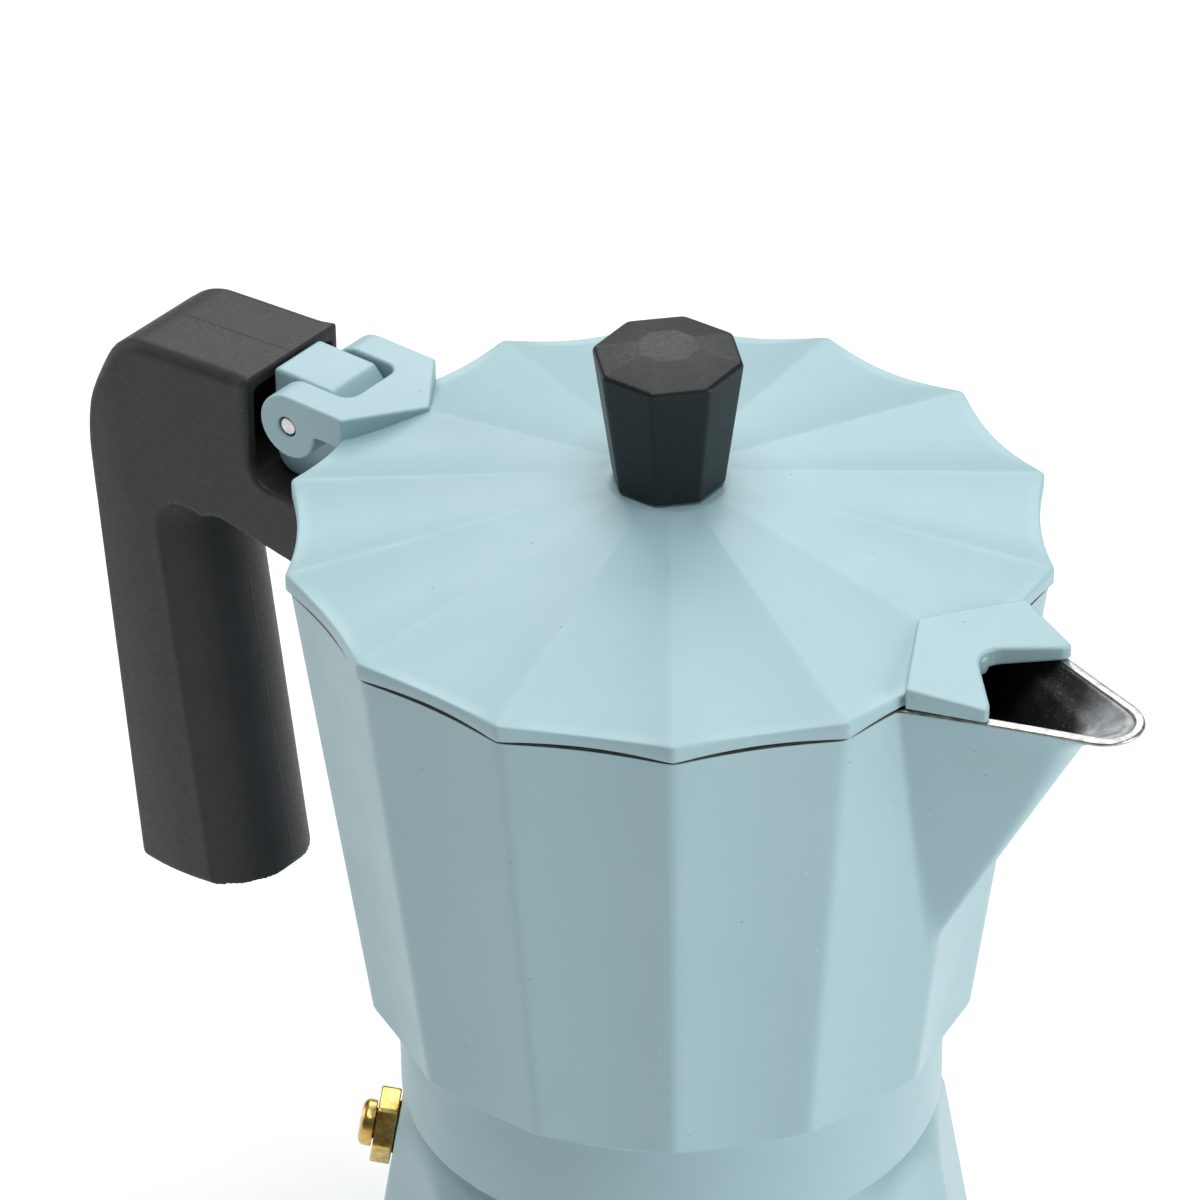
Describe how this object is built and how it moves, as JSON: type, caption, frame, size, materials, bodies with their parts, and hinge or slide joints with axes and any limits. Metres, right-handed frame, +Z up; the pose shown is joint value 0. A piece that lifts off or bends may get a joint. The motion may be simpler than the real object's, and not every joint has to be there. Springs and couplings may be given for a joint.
{
  "type": "moka pot",
  "caption": "Stovetop moka pot: fluted boiler and pouring chamber screwed together round a funnel, gasket and filter plate, with hinged lid, hollow handle and safety valve.",
  "frame": {"origin": "centre of the boiler's flat base", "axes": "+Z up along the pot's axis, +X towards the spout, -X towards the handle, +Y to the left of someone looking along the spout"},
  "size_m": [0.1766, 0.1052, 0.2038],
  "materials": {
    "pale_blue_paint": "satin",
    "bare_aluminium": "satin",
    "black_plastic": "satin",
    "brass": "satin",
    "stainless_steel": "satin",
    "white_silicone": "matte"
  },
  "bodies": {
    "boiler": {"boiler": "pale_blue_paint", "valve_body": "brass", "valve_cap": "brass", "valve_spring": "stainless_steel"},
    "valve_plunger": {"valve_pin": "stainless_steel"},
    "funnel": {"funnel": "bare_aluminium", "funnel_strainer": "bare_aluminium"},
    "seal": {"gasket": "white_silicone"},
    "filter": {"filter_plate": "bare_aluminium"},
    "top": {"pouring_chamber": "pale_blue_paint", "handle": "black_plastic", "handle_screw": "stainless_steel", "hinge_pin": "stainless_steel"},
    "lid": {"lid": "pale_blue_paint", "knob": "black_plastic", "knob_washer": "stainless_steel", "knob_screw": "stainless_steel"}
  },
  "joints": [
    {"name": "top_lift", "type": "slide", "parent": "boiler", "child": "seal", "axis": [0, 0, 1], "range_m": [0, 0.11]},
    {"name": "thread_rise", "type": "slide", "parent": "seal", "child": "filter", "axis": [0, 0, 1], "range_m": [0, 0.00825]},
    {"name": "top_turn", "type": "hinge", "parent": "filter", "child": "top", "pos_m": [0, 0, 0.0797], "axis": [0, 0, 1], "range_deg": [0, 990]},
    {"name": "lid_hinge", "type": "hinge", "parent": "top", "child": "lid", "pos_m": [-0.0606, 0, 0.17235], "axis": [0, -1, 0], "range_deg": [0, 105]},
    {"name": "funnel_lift", "type": "slide", "parent": "boiler", "child": "funnel", "axis": [0, 0, 1], "range_m": [0, 0.066]},
    {"name": "valve_release", "type": "slide", "parent": "boiler", "child": "valve_plunger", "axis": [-0.8185, -0.5494, 0.168], "range_m": [0, 0.0015], "stiffness_N_per_m": 600, "springref_m": -0.003, "deforming": ["valve_spring"]}
  ],
  "couplings": [
    {"joint": "thread_rise", "follows": "top_turn", "m_per_rad": 0.00047746},
    {"joint": "funnel_lift", "follows": "top_lift", "ratio": 0.6}
  ]
}
